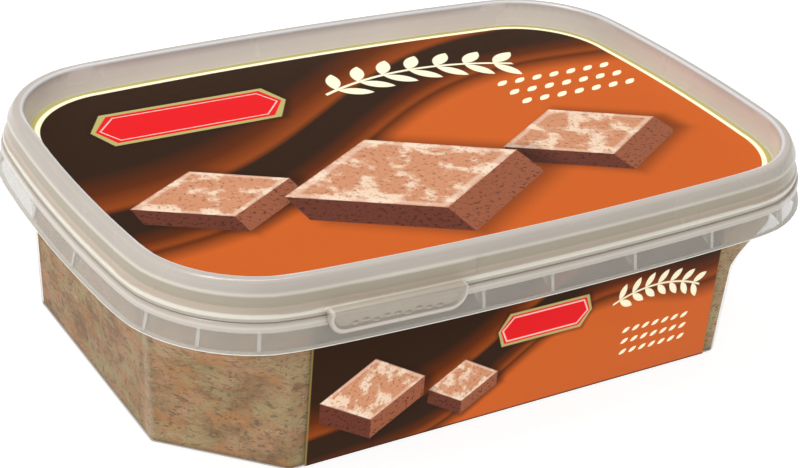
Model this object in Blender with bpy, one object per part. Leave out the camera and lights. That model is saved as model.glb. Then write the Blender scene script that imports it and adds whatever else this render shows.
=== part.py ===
"""A shut, lidded plastic tub of marbled cocoa halva, at its real size.

Metres, +Z up. The tub stands on the XY plane with its middle over the origin, its long
sides along X and the lid's pull tab at -Y. Every height is above the table it stands on.
"""

import math

import bmesh
import bpy
from mathutils import Matrix, Vector
from mathutils.geometry import intersect_line_line_2d

MM = 0.001

# The lid's rim seen from above, along the inner edge of its crest. The sides bow outwards,
# and every other outline of the rim runs a fixed distance outside or inside this one.
RIM_HALF_X = 64.8 * MM
RIM_HALF_Y = 43.8 * MM
RIM_CORNER = 20.3 * MM
RIM_BOW_X = 0.9 * MM
RIM_BOW_Y = 1.4 * MM

# The tub's body: a drafted box whose corners are cut flat low down and swell into round
# shoulders under the rim.
BASE_HALF_X = 61.9 * MM
BASE_HALF_Y = 41.8 * MM
BODY_CORNER = 17.2 * MM
END_DRAFT = 0.057
FRONT_DRAFT = 0.012
CUT_SOFTNESS = 0.9 * MM
SHOULDER_START = 17.5 * MM
BASE_FILLET = 1.0 * MM
TUB_WALL = 0.9 * MM
GAP = 0.3 * MM

# Heights of the rim, from the table up.
SKIRT_FOOT = 26.8 * MM
BAND_FOOT = 30.4 * MM
FLANGE_UNDERSIDE = 30.7 * MM
SHOULDER_TOP = 31.5 * MM
FLANGE_TOP = 32.0 * MM
LIP_TOP = 35.6 * MM
PANEL_TOP = 32.85 * MM
LEDGE_TOP = 33.3 * MM
STEP_FOOT = 34.3 * MM
SLOPE_FOOT = 36.3 * MM
CREST_TOP = 38.4 * MM

LID_WALL = 0.8 * MM
SKIRT_WALL = 0.8 * MM
RIB_WALL = 0.8 * MM
LABEL_THICKNESS = 0.25 * MM
HEAD_SPACE = 2.5 * MM

# Smoothness of the outlines.
CORNER_STEPS = 8
END_STEPS = 4
SIDE_STEPS = 6


def material(name, colour, roughness, alpha=1.0):
    made = bpy.data.materials.new(name)
    made.use_nodes = True
    shader = made.node_tree.nodes["Principled BSDF"]
    shader.inputs["Base Color"].default_value = (*colour, 1.0)
    shader.inputs["Roughness"].default_value = roughness
    shader.inputs["Metallic"].default_value = 0.0
    shader.inputs["Alpha"].default_value = alpha
    return made


def soft_cut(start, end, before, after, step):
    """A point of a flat corner cut from start to end, whose two edges are slightly rounded.

    before and after are the directions in which the sides arrive at it and leave it.
    """
    chord = end - start
    along = chord.normalized()
    inwards = Vector((-along.y, along.x)) * CUT_SOFTNESS * 0.2
    if step == 0:
        return start - before * CUT_SOFTNESS
    if step == 1:
        return start + inwards
    if step == CORNER_STEPS - 1:
        return end + inwards
    if step == CORNER_STEPS:
        return end + after * CUT_SOFTNESS
    share = (step - 2) / (CORNER_STEPS - 4)
    reach = CUT_SOFTNESS / chord.length
    return start + chord * (reach + share * (1 - 2 * reach))


def outline(half_x, half_y, corner, height, bow=(0.0, 0.0), cut=0.0):
    """Points anticlockwise round a rectangle with round corners and bowed sides.

    cut turns the corners from round, at 0, to cut flat, at 1.
    """
    centre = Vector((half_x - bow[0] - corner, half_y - bow[1] - corner))
    points = []
    for quarter in range(4):
        turn = Matrix.Rotation(quarter * math.pi / 2, 2)
        before = turn @ Vector((0, 1))
        after = turn @ Vector((-1, 0))
        middle = Vector((
            centre.x if quarter in (0, 3) else -centre.x,
            centre.y if quarter in (0, 1) else -centre.y,
        ))
        start = middle + turn @ Vector((corner, 0))
        end = middle + turn @ Vector((0, corner))
        for step in range(CORNER_STEPS + 1):
            angle = (quarter + step / CORNER_STEPS) * math.pi / 2
            arc = middle + corner * Vector((math.cos(angle), math.sin(angle)))
            points.append(arc.lerp(soft_cut(start, end, before, after, step), cut))
        # The side that follows this corner: a long one after corners 0 and 2.
        is_long = quarter % 2 == 0
        steps = SIDE_STEPS if is_long else END_STEPS
        half_length = centre.x if is_long else centre.y
        side_bow = bow[1] if is_long else bow[0]
        for step in range(1, steps):
            along = 2 * step / steps
            swell = side_bow * (1 - (along - 1) ** 2)
            outwards = turn @ Vector((0, 1))
            points.append(end + after * half_length * along + outwards * swell)
    return [Vector((p.x, p.y, height)) for p in points]


def rim_corner_centre():
    """The middle of the rim's corner arc at +X +Y."""
    return Vector((RIM_HALF_X - RIM_BOW_X - RIM_CORNER, RIM_HALF_Y - RIM_BOW_Y - RIM_CORNER))


def rim(offset, height):
    """The outline that runs offset outside the inner edge of the lid's crest."""
    return outline(
        RIM_HALF_X + offset, RIM_HALF_Y + offset, RIM_CORNER + offset, height, (RIM_BOW_X, RIM_BOW_Y)
    )


def shoulder(height):
    """How flat the body's corners are cut at this height: 1 low down, 0 under the rim."""
    rise = (height - SHOULDER_START) / (FLANGE_UNDERSIDE - SHOULDER_START)
    return 1 - min(max(rise, 0.0), 1.0) ** 1.3


def body(inset, height):
    """The body's outline at this height, inset from its outer face."""
    cut = shoulder(height)
    corner_loss = inset * (1 - cut * (math.sqrt(2) - 1))
    return outline(
        BASE_HALF_X + END_DRAFT * height - inset,
        BASE_HALF_Y + FRONT_DRAFT * height - inset,
        BODY_CORNER - corner_loss,
        height,
        cut=cut,
    )


def body_side(inset, heights):
    return [body(inset, height) for height in heights]


def skin(name, loops, finish):
    """A closed solid through the loops in order, with its first and last ones filled."""
    mesh = bmesh.new()
    rows = [[mesh.verts.new(point) for point in loop] for loop in loops]
    for lower, upper in zip(rows, rows[1:]):
        for i in range(len(lower)):
            after = (i + 1) % len(lower)
            mesh.faces.new((lower[i], lower[after], upper[after], upper[i]))
    mesh.faces.new(reversed(rows[0]))
    mesh.faces.new(rows[-1])
    return finished(name, mesh, finish)


def finished(name, mesh, finish):
    bmesh.ops.recalc_face_normals(mesh, faces=mesh.faces)
    data = bpy.data.meshes.new(name)
    mesh.to_mesh(data)
    mesh.free()
    data.shade_smooth()
    data.set_sharp_from_angle(angle=math.radians(30))
    if finish:
        data.materials.append(finish)
    made = bpy.data.objects.new(name, data)
    bpy.context.scene.collection.objects.link(made)
    return made


def joined(target, helper):
    """Unites a helper with the target and removes it."""
    union = target.modifiers.new("joined", "BOOLEAN")
    union.operation = "UNION"
    union.solver = "EXACT"
    union.object = helper
    with bpy.context.temp_override(object=target, active_object=target):
        bpy.ops.object.modifier_apply(modifier=union.name)
    bpy.data.objects.remove(helper, do_unlink=True)
    return target


def body_heights(lowest, highest):
    """Heights up a side of the body, close enough together for the curve of the shoulders."""
    steps = 4
    rise = FLANGE_UNDERSIDE - SHOULDER_START
    curve = [SHOULDER_START + rise * step / steps for step in range(steps + 1)]
    return [lowest] + [height for height in curve if height < highest] + [highest]


def tub_shell(finish):
    """Body, shoulder, lip, flange and skirt, moulded in one piece."""
    skirt_top, skirt_low = 4.0 * MM, 4.9 * MM
    lip_out, lip_in = 1.85 * MM, 1.2 * MM
    floor = TUB_WALL + 0.1 * MM
    outside = [body(BASE_FILLET, 0), body(0.3 * BASE_FILLET, 0.3 * BASE_FILLET)]
    outside += body_side(0, body_heights(BASE_FILLET, FLANGE_UNDERSIDE))
    skirt = [
        rim(skirt_top - SKIRT_WALL, FLANGE_UNDERSIDE),
        rim(skirt_low - SKIRT_WALL, SKIRT_FOOT + 0.1 * MM),
        rim(skirt_low - SKIRT_WALL / 2, SKIRT_FOOT - 0.05 * MM),
        rim(skirt_low, SKIRT_FOOT + 0.1 * MM),
        rim(skirt_top, BAND_FOOT),
        rim(skirt_top + 0.15 * MM, BAND_FOOT + 0.2 * MM),
        rim(skirt_top, FLANGE_TOP - 0.2 * MM),
        rim(skirt_top - 0.3 * MM, FLANGE_TOP),
    ]
    lip = [
        rim(lip_out, FLANGE_TOP),
        rim(lip_out, LIP_TOP - 0.2 * MM),
        rim(lip_out - 0.2 * MM, LIP_TOP),
        rim(lip_in, LIP_TOP - 0.1 * MM),
        rim(lip_in, SHOULDER_TOP),
    ]
    inside = body_side(TUB_WALL, reversed(body_heights(floor + BASE_FILLET, SHOULDER_TOP)))
    inside.append(body(TUB_WALL + BASE_FILLET, floor))
    return skin("tub", outside + skirt + lip + inside, finish)


def rib_places():
    """Where each rib crosses the rim's outline, and the direction it runs outwards in."""
    pitch, first_front = 17.4 * MM, -13.6 * MM
    centre = rim_corner_centre()
    front = [first_front, 0, pitch, 2 * pitch]
    back = [step * pitch for step in range(-2, 3)]
    ends = (-0.5 * pitch, 0.5 * pitch)

    def bowed(half, bow, along, straight):
        return half - bow * (along / straight) ** 2

    places = []
    for side, spots in ((-1, front), (1, back)):
        for x in spots:
            y = bowed(RIM_HALF_Y, RIM_BOW_Y, x, centre.x)
            places.append((Vector((x, side * y)), Vector((0, side))))
    for side in (-1, 1):
        for y in ends:
            x = bowed(RIM_HALF_X, RIM_BOW_X, y, centre.y)
            places.append((Vector((side * x, y)), Vector((side, 0))))
    for quarter in range(4):
        middle = Vector((
            centre.x if quarter in (0, 3) else -centre.x,
            centre.y if quarter in (0, 1) else -centre.y,
        ))
        for share in (0.25, 0.5, 0.75):
            angle = (quarter + share) * math.pi / 2
            outwards = Vector((math.cos(angle), math.sin(angle)))
            places.append((middle + outwards * RIM_CORNER, outwards))
    return places


def crossing(place, outwards, loop):
    """Where the line through place along outwards leaves a loop."""
    reach = outwards * 20 * MM
    for here, there in zip(loop, loop[1:] + loop[:1]):
        met = intersect_line_line_2d(place - reach, place + reach, here.xy, there.xy)
        if met:
            return met
    raise ValueError("a rib misses the body")


def tub_ribs():
    """The upright gussets that brace the skirt: full height at the skirt, low at the body's wall."""
    foot = SKIRT_FOOT + 0.5 * MM
    wall_foot = FLANGE_UNDERSIDE - 0.7 * MM
    head = FLANGE_UNDERSIDE + 0.4 * MM
    skirt_foot, skirt_head = 4.4 * MM, 3.6 * MM
    mesh = bmesh.new()
    for place, outwards in rib_places():
        across = Vector((-outwards.y, outwards.x)) * RIB_WALL / 2
        corners = []
        for inner_height, height, reach_out in ((wall_foot, foot, skirt_foot), (head, head, skirt_head)):
            wall = body(TUB_WALL / 2, min(inner_height, FLANGE_UNDERSIDE))
            inner = crossing(place, outwards, wall)
            outer = place + outwards * reach_out
            for point, z in (
                (inner - across, inner_height), (outer - across, height),
                (outer + across, height), (inner + across, inner_height),
            ):
                corners.append(mesh.verts.new((point.x, point.y, z)))
        for face in ((3, 2, 1, 0), (4, 5, 6, 7), (0, 1, 5, 4), (1, 2, 6, 5), (2, 3, 7, 6), (3, 0, 4, 7)):
            mesh.faces.new([corners[i] for i in face])
    return finished("ribs", mesh, None)


def lid_shell(finish):
    """Sunk panel, inner wall, crest, stepped outer wall and ledge: one thin moulded sheet."""
    wall = LID_WALL
    above = [
        rim(-3.0 * MM, PANEL_TOP),
        rim(-0.8 * MM, PANEL_TOP),
        rim(-0.5 * MM, PANEL_TOP + 0.3 * MM),
        rim(0, CREST_TOP - 0.35 * MM),
        rim(0.35 * MM, CREST_TOP),
        rim(1.5 * MM, CREST_TOP),
        rim(1.95 * MM, CREST_TOP - 0.3 * MM),
        rim(2.8 * MM, SLOPE_FOOT + 0.3 * MM),
        rim(2.95 * MM, SLOPE_FOOT - 0.2 * MM),
        rim(3.05 * MM, STEP_FOOT),
        rim(3.3 * MM, LEDGE_TOP + 0.35 * MM),
        rim(3.65 * MM, LEDGE_TOP),
        rim(3.75 * MM, LEDGE_TOP - 0.3 * MM),
    ]
    ledge_underside = FLANGE_TOP + GAP
    below = [
        rim(3.7 * MM, ledge_underside),
        rim(2.3 * MM, ledge_underside),
        rim(2.2 * MM, SLOPE_FOOT - 0.4 * MM),
        rim(1.3 * MM, CREST_TOP - wall),
        rim(0.8 * MM, CREST_TOP - wall),
        rim(0.3 * MM, PANEL_TOP),
        rim(-0.4 * MM, PANEL_TOP - wall),
        rim(-3.0 * MM, PANEL_TOP - wall),
    ]
    return skin("lid", above + below, finish)


def tab_outline(half_length, foot, head, corner):
    """The tab seen from the front, as (along, height) pairs: square above, round below."""
    points = [(-half_length, head), (half_length, head)]
    for side in (1, -1):
        for step in range(5):
            turn = step / 4 * math.pi / 2
            angle = turn if side == 1 else math.pi / 2 - turn
            along = half_length - corner * (1 - math.cos(angle))
            points.append((side * along, foot + corner * (1 - math.sin(angle))))
    return points


def tab_plate():
    """The lid's pull tab: a plate in front of the skirt, hollowed inside a raised rim."""
    half_length, corner = 12.4 * MM, 2.8 * MM
    foot, head = 28.8 * MM, 33.1 * MM
    thickness, border, sink = 0.9 * MM, 0.8 * MM, 0.3 * MM
    lean = 0.26
    inner_face = 4.45 * MM

    def layer(shape, depth):
        return [
            (along, -(inner_face + depth + lean * max(BAND_FOOT - height, 0)), height)
            for along, height in shape
        ]

    whole = tab_outline(half_length, foot, head, corner)
    hollow = tab_outline(half_length - border, foot + border, head - border, corner - border)
    layers = [
        layer(whole, 0),
        layer(whole, thickness),
        layer(hollow, thickness),
        layer(hollow, thickness - sink),
    ]
    return skin("tab", placed_at_tab(layers), None)


def tab_root():
    """The shelf that carries the tab out from the lid's ledge, over the flange's edge."""
    half_length = 12.4 * MM
    near, far = 3.1 * MM, 5.0 * MM
    low, high = FLANGE_TOP + GAP, LEDGE_TOP - 0.1 * MM
    near_end = [(-half_length, -near, low), (half_length, -near, low),
                (half_length, -near, high), (-half_length, -near, high)]
    far_end = [(along, -far, height) for along, _, height in near_end]
    return skin("root", placed_at_tab([near_end, far_end]), None)


def placed_at_tab(layers):
    """Moves layers drawn at the middle of the rim's front to the tab's place on the bowed side."""
    place = -29.9 * MM
    straight = rim_corner_centre().x
    share = place / straight
    y = -(RIM_HALF_Y - RIM_BOW_Y * share ** 2)
    slope = 2 * RIM_BOW_Y * share / straight
    turn = Matrix.Translation((place, y, 0)) @ Matrix.Rotation(math.atan(slope), 4, "Z")
    return [[turn @ Vector(point) for point in layer] for layer in layers]


def halva_block(finish):
    """The halva fills the body up to the head space under the lid's panel."""
    inset = TUB_WALL + GAP
    low = TUB_WALL + 0.1 * MM + GAP
    high = PANEL_TOP - LID_WALL - HEAD_SPACE
    loops = [body(inset + BASE_FILLET, low)]
    loops += body_side(inset, body_heights(low + BASE_FILLET, high - 1.0 * MM))
    loops.append(body(inset + 0.6 * MM, high))
    return skin("halva", loops, finish)


def lid_label(finish):
    offset = -0.8 * MM
    low = PANEL_TOP + GAP
    return skin("lid_label", [rim(offset, low), rim(offset, low + LABEL_THICKNESS)], finish)


def wall_label(name, side, finish):
    """A printed plate on a long side of the body. side is -1 at the front and 1 at the back."""
    half_length = 42.1 * MM
    foot, head = 1.2 * MM, SKIRT_FOOT - 0.2 * MM

    def layer(standoff):
        return [
            Vector((along, side * (BASE_HALF_Y + FRONT_DRAFT * height + standoff), height))
            for along, height in (
                (-half_length, foot), (half_length, foot), (half_length, head), (-half_length, head),
            )
        ]

    return skin(name, [layer(GAP), layer(GAP + LABEL_THICKNESS)], finish)


def build():
    for old in list(bpy.data.objects):
        bpy.data.objects.remove(old, do_unlink=True)
    milky = material("milky plastic", (0.72, 0.69, 0.66), 0.35, alpha=0.5)
    print_coat = material("printed label", (0.17, 0.06, 0.02), 0.3)
    halva_mass = material("marbled halva", (0.42, 0.28, 0.17), 0.8)
    joined(tub_shell(milky), tub_ribs())
    lid = joined(lid_shell(milky), tab_root())
    joined(lid, tab_plate())
    halva_block(halva_mass)
    lid_label(print_coat)
    wall_label("front_label", -1, print_coat)
    wall_label("back_label", 1, print_coat)


build()
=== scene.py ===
# %% [markdown]
# # A shut tub of marbled halva
# The object is a low plastic tub that is full of halva, with a pressed-on lid, a pull tab and
# printed labels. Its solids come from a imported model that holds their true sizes. This lesson
# puts a finely shaped piece over each of those solids, gives every piece a finish made of
# shader nodes, and lights it like a product photograph.

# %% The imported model
import math

import bmesh
import bpy
from mathutils import Matrix, Vector


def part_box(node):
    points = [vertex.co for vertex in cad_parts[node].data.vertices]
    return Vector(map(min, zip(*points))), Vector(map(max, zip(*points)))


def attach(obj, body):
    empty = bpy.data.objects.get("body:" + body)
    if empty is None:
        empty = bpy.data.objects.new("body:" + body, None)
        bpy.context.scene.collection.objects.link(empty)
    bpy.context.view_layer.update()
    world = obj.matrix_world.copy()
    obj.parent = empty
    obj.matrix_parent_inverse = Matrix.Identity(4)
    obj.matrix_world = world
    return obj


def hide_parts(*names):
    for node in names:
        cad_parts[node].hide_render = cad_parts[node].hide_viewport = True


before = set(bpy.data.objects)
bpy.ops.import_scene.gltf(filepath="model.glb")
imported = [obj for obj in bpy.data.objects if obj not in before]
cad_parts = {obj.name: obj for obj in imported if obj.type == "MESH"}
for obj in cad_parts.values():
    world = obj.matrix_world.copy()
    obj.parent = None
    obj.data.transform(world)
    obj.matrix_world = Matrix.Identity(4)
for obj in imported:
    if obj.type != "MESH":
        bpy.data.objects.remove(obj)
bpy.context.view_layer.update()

MM = 0.001

# %% [markdown]
# ## The camera
# A product photograph is taken from a little way off with a long lens, so that the tub keeps
# its proportions. The camera looks down on the corner left of the tab and leans a little to
# the side. Its place could be set by eye, but three angles and a distance say the same thing in
# numbers that can be compared with the picture.

# %% Camera
AIM = Vector((22.735, 34.490, -8.371)) * MM
DISTANCE = 395.97 * MM
AZIMUTH = math.radians(-33.119)
ELEVATION = math.radians(28.335)
LEAN = math.radians(4.688)
SENSOR = 36.0
FOCAL_LENGTH = 83.23

backwards = Vector((
    math.sin(AZIMUTH) * math.cos(ELEVATION), -math.cos(AZIMUTH) * math.cos(ELEVATION), math.sin(ELEVATION)
))
level = Vector((math.cos(AZIMUTH), math.sin(AZIMUTH), 0))
upright = backwards.cross(level)
sideways = level * math.cos(LEAN) + upright * math.sin(LEAN)
upwards = upright * math.cos(LEAN) - level * math.sin(LEAN)

bpy.ops.object.select_all(action="DESELECT")
bpy.ops.object.camera_add(location=AIM + backwards * DISTANCE)
camera = bpy.context.object
camera.name = "camera"
camera.rotation_euler = Matrix((sideways, upwards, backwards)).transposed().to_euler()
camera.data.sensor_width = SENSOR
camera.data.lens = FOCAL_LENGTH
camera.data.clip_start = 10 * MM
bpy.context.scene.camera = camera
print("camera at", [round(c / MM, 1) for c in camera.location], "mm")

# %% [markdown]
# ## Small helpers for modelling
# An operator works on everything that is selected, so each step starts from a clear selection
# and then picks its faces or edges by their place. These helpers do that, and take a face along
# a cross-section as one would by hand with inset and extrude.

# %% Selecting
def deselect():
    """Goes back to object mode with nothing selected."""
    if bpy.context.mode != "OBJECT":
        bpy.ops.object.mode_set(mode="OBJECT")
    bpy.ops.object.select_all(action="DESELECT")


def only(piece):
    """Makes the piece the active and only selected object."""
    deselect()
    piece.select_set(True)
    bpy.context.view_layer.objects.active = piece


def edit(piece):
    """Enters edit mode on the piece alone."""
    only(piece)
    bpy.ops.object.mode_set(mode="EDIT")


def pick(kind, wanted):
    """In edit mode, selects only the VERT, EDGE or FACE elements that wanted accepts."""
    bpy.ops.mesh.select_mode(type=kind)
    bpy.ops.mesh.select_all(action="DESELECT")
    data = bpy.context.object.data
    mesh = bmesh.from_edit_mesh(data)
    elements = {"VERT": mesh.verts, "EDGE": mesh.edges, "FACE": mesh.faces}[kind]
    chosen = [element for element in elements if wanted(element)]
    for element in chosen:
        element.select_set(True)
    bmesh.update_edit_mesh(data)
    return len(chosen)


def middle(element):
    """The middle of an edge or a face."""
    return sum((vert.co for vert in element.verts), Vector()) / len(element.verts)


def join(pieces):
    """Joins the pieces into the first of them."""
    deselect()
    for piece in pieces:
        piece.select_set(True)
    bpy.context.view_layer.objects.active = pieces[0]
    bpy.ops.object.join()
    return pieces[0]


def modify(piece, kind, **settings):
    """Adds a modifier with these settings and applies it."""
    only(piece)
    bpy.ops.object.modifier_add(type=kind)
    modifier = piece.modifiers[-1]
    for name, value in settings.items():
        setattr(modifier, name, value)
    bpy.ops.object.modifier_apply(modifier=modifier.name)


def finish_mesh(piece, sharp=35):
    """Turns the faces outwards and shades them smooth up to an angle in degrees."""
    edit(piece)
    bpy.ops.mesh.select_all(action="SELECT")
    bpy.ops.mesh.normals_make_consistent(inside=False)
    only(piece)
    bpy.ops.object.shade_smooth_by_angle(angle=math.radians(sharp))
    print(piece.name, len(piece.data.polygons), "faces")


# %% [markdown]
# ## Outlines with round corners and bowed sides
# Every part of this tub is a rectangle with round corners, seen from above. A plane whose
# four corners get a vertex bevel is exactly that. The moulded rim also bows out a little along
# its sides, which is a proportional move of each side's middle point: the falloff called
# inverse square gives a parabola, and a little smoothing takes the kink out of the place where it
# meets the round corner. A bevel profile of 0.5 makes a quarter circle, and 0.25 makes a flat
# cut, which is how the body's cut corners swell into round shoulders.

# %% Outline of a part
CORNER_CUTS = 16
LONG_CUTS, SHORT_CUTS = 19, 11
STRAIGHT = 6 * MM
JOINT_REACH = 6 * MM


def outline(name, half, corner, height, bow=(0, 0), profile=0.5):
    """A loop of edges round a rectangle: half is its half sizes, measured at the middle of each side."""
    deselect()
    bpy.ops.mesh.primitive_plane_add(size=2, location=(0, 0, height))
    loop = bpy.context.object
    loop.name = name
    loop.scale = (half[0] - bow[0], half[1] - bow[1], 1)
    bpy.ops.object.transform_apply(location=True, scale=True)
    edit(loop)
    bpy.ops.mesh.select_all(action="SELECT")
    bpy.ops.mesh.bevel(offset=corner, segments=CORNER_CUTS, affect="VERTICES", profile=profile)
    bpy.ops.mesh.delete(type="ONLY_FACE")
    for axis, cuts in ((0, LONG_CUTS), (1, SHORT_CUTS)):
        pick("EDGE", lambda edge: abs(edge.verts[0].co[axis] - edge.verts[1].co[axis]) > STRAIGHT)
        bpy.ops.mesh.subdivide(number_cuts=cuts)
        reach = half[axis] - bow[axis] - corner
        for side in (-1, 1):
            if bow[1 - axis]:
                pick("VERT", lambda vert: abs(vert.co[axis]) < 0.01 * MM and vert.co[1 - axis] * side > 0)
                push = [0, 0, 0]
                push[1 - axis] = side * bow[1 - axis]
                bpy.ops.transform.translate(
                    value=push, use_proportional_edit=True,
                    proportional_edit_falloff="INVERSE_SQUARE", proportional_size=reach,
                )
    if bow[0] or bow[1]:
        joint = [half[axis] - bow[axis] - corner for axis in (0, 1)]
        pick("VERT", lambda vert: (
            abs(abs(vert.co.x) - joint[0]) < JOINT_REACH and abs(vert.co.y) > joint[1]
            or abs(abs(vert.co.y) - joint[1]) < JOINT_REACH and abs(vert.co.x) > joint[0]
        ))
        bpy.ops.mesh.vertices_smooth(factor=0.5, repeat=3)
    return loop


def fill(loop):
    """Fills the loop that is being edited with one face that looks up."""
    pick("EDGE", lambda edge: True)
    bpy.ops.mesh.edge_face_add()
    if bmesh.from_edit_mesh(loop.data).faces[:][0].normal.z < 0:
        bpy.ops.mesh.flip_normals()


# %% [markdown]
# ## Sizes of the rim
# The rim's cross-section is drawn as pairs of numbers: how far outside the crest's inner edge a
# point lies, and how high it is. The same section then runs all the way round. The driving sizes
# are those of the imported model, and its box is used to see that they agree.

# %% Rim sizes
RIM_HALF = (64.8, 43.8)
RIM_CORNER = 20.3
RIM_BOW = (0.9, 1.4)


def rim_loop(name, offset, height):
    """The rim's outline in metres, at an offset and a height given in millimetres."""
    half = [(size + offset) * MM for size in RIM_HALF]
    return outline(name, half, (RIM_CORNER + offset) * MM, height * MM, [bow * MM for bow in RIM_BOW])


def follow(section):
    """Takes the selected face along a section of (offset, height) pairs in millimetres."""
    for (offset, height), (after, level_after) in zip(section, section[1:]):
        inwards, rise = offset - after, level_after - height
        if inwards > 0:
            bpy.ops.mesh.inset(thickness=inwards * MM, depth=rise * MM)
        else:
            bpy.ops.mesh.extrude_region_move(TRANSFORM_OT_translate={"value": (0, 0, rise * MM)})
            grow = [(size + after) / (size + offset) for size in RIM_HALF]
            bpy.ops.transform.resize(value=(*grow, 1), center_override=(0, 0, 0))


def uncap(height):
    """Deletes the flat face that the first extrusion leaves behind at a height in millimetres."""
    pick("FACE", lambda face: all(abs(vert.co.z / MM - height) < 0.01 for vert in face.verts))
    bpy.ops.mesh.delete(type="ONLY_FACE")


lid_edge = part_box("lid")[1].x / MM - RIM_HALF[0]
print("lid's outer edge is", round(lid_edge, 2), "mm outside the crest's inner edge")

# %% [markdown]
# ## The lid
# The real lid is one thin moulded sheet: a sunk panel, an inner wall, a rounded crest, a sloping
# outer wall and a ledge that sits on the tub's flange. It could be sculpted from a block, but a
# moulded sheet is made like one: its upper face follows the section, its bends are rounded by a
# Bevel modifier, and Solidify then gives it its wall.

# %% Lid sheet
PANEL_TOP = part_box("lid_label")[0].z / MM - 0.05
CREST_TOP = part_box("lid")[1].z / MM
LID_WALL = 0.8 * MM
LID_SECTION = [
    (3.70, 32.1), (3.75, 33.0), (3.62, 33.3), (3.3, 33.6), (3.05, 34.3), (2.95, 36.1), (2.8, 36.6),
    (1.95, CREST_TOP - 0.3), (1.5, CREST_TOP), (0.35, CREST_TOP), (0, CREST_TOP - 0.35),
    (-0.45, PANEL_TOP + 0.3), (-0.75, PANEL_TOP),
]

lid = rim_loop("lid_shell", *LID_SECTION[0])
fill(lid)
follow(LID_SECTION)
uncap(LID_SECTION[0][1])
deselect()
modify(lid, "BEVEL", width=0.3 * MM, segments=3, limit_method="ANGLE", angle_limit=math.radians(20))
print("lid sheet", len(lid.data.vertices), "points")

# %% [markdown]
# A pad stands a hair out of the lid's outer wall above the tab, where the mould has its
# textured patch. The sheet is cut at the pad's two ends, the wall between them is pushed out, and
# its left end is moved back so that the pad fades into the wall there.

# %% Pad above the tab
PAD_ENDS = (-37.6 * MM, -15.2 * MM)
PAD_STANDOUT = 0.18 * MM
PAD_EDGE = 0.15 * MM
PAD_FOOT, PAD_HEAD = 34.35 * MM, 35.9 * MM
OUTER_FRONT = -(RIM_HALF[1] + 1) * MM

edit(lid)
for end in PAD_ENDS:
    for side in (0, PAD_EDGE):
        bpy.ops.mesh.select_all(action="SELECT")
        bpy.ops.mesh.bisect(plane_co=(end + side, 0, 0), plane_no=(1, 0, 0))
pad_faces = pick("FACE", lambda face: (
    PAD_ENDS[0] + 0.1 * MM < middle(face).x < PAD_ENDS[1] + 0.05 * MM
    and middle(face).y < OUTER_FRONT and PAD_FOOT < middle(face).z < PAD_HEAD
))
bpy.ops.transform.translate(value=(0, -PAD_STANDOUT, 0))
pick("VERT", lambda vert: (
    abs(vert.co.x - PAD_ENDS[0] - PAD_EDGE) < 0.02 * MM
    and vert.co.y < OUTER_FRONT and 34.2 * MM < vert.co.z < 36.3 * MM
))
bpy.ops.transform.translate(value=(0, PAD_STANDOUT, 0))
print("pad has", pad_faces, "faces")
modify(lid, "SOLIDIFY", thickness=LID_WALL, offset=-1, use_even_offset=True)

# %% [markdown]
# ## The pull tab
# The tab is a plate with round lower corners, hollowed inside a raised border, that hangs in
# front of the tub's skirt. It is drawn flat, extruded, inset and pushed in, then stood up and
# set against the bowed side. Low bumps, copied along a wavy row, give the finger its grip, and
# a short shelf carries it out from the lid's ledge.

# %% Tab plate
TAB_HALF_LENGTH = 12.4 * MM
TAB_HEAD, TAB_FOOT = 32.95 * MM, 28.85 * MM
TAB_THICKNESS = 0.9 * MM
TAB_BORDER, TAB_SLOPE, TAB_HOLLOW = 0.75 * MM, 0.35 * MM, 0.4 * MM
TAB_CORNER = 3.1 * MM
TAB_PLACE = -29.9 * MM
TAB_TILT = math.radians(4.5)
TAB_STANDOFF = 4.42 * MM

deselect()
bpy.ops.mesh.primitive_plane_add(size=1, location=(0, -0.5, 0))
tab = bpy.context.object
tab.name = "tab"
bpy.ops.object.transform_apply(location=True)
tab.scale = (2 * TAB_HALF_LENGTH, TAB_HEAD - TAB_FOOT, 1)
bpy.ops.object.transform_apply(scale=True)
edit(tab)
pick("VERT", lambda vert: vert.co.y < -1 * MM)
bpy.ops.mesh.bevel(offset=TAB_CORNER, segments=10, affect="VERTICES", profile=0.5)
pick("FACE", lambda face: True)
bpy.ops.mesh.extrude_region_move(TRANSFORM_OT_translate={"value": (0, 0, TAB_THICKNESS)})
bpy.ops.mesh.inset(thickness=TAB_BORDER)
bpy.ops.mesh.inset(thickness=TAB_SLOPE, depth=-TAB_HOLLOW)
deselect()
modify(tab, "BEVEL", width=0.18 * MM, segments=3, limit_method="ANGLE", angle_limit=math.radians(25))

# %% Grip bumps
BUMPS = 9
BUMP_PITCH = 1.9 * MM
BUMP_RADIUS = 0.55 * MM
BUMP_FORM = (1.25, 0.7, 0.42)
BUMP_ROW, BUMP_WAVE = -2.75 * MM, 0.25 * MM


def copy_of(piece):
    """A copy of the piece with its own mesh."""
    only(piece)
    bpy.ops.object.duplicate(linked=False)
    return bpy.context.object


deselect()
bpy.ops.mesh.primitive_uv_sphere_add(segments=16, ring_count=8, radius=BUMP_RADIUS, scale=BUMP_FORM)
bump = bpy.context.object
bpy.ops.object.transform_apply(scale=True)
bumps = [bump] + [copy_of(bump) for index in range(BUMPS - 1)]
for index, bump in enumerate(bumps):
    along = (index - (BUMPS - 1) / 2) * BUMP_PITCH
    low = BUMP_ROW + BUMP_WAVE * math.sin(2.3 * index)
    bump.location = (along, low, TAB_THICKNESS - TAB_HOLLOW)
    only(bump)
    bpy.ops.object.transform_apply(location=True)
tab = join([tab] + bumps)
print("tab with", len(bumps), "bumps and", len(tab.data.polygons), "faces")

# %% Tab in its place
SHELF_DEPTH, SHELF_THICKNESS = 2.1 * MM, 0.85 * MM
SHELF_OUT, SHELF_HEIGHT = 4.2 * MM, 32.76 * MM

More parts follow.
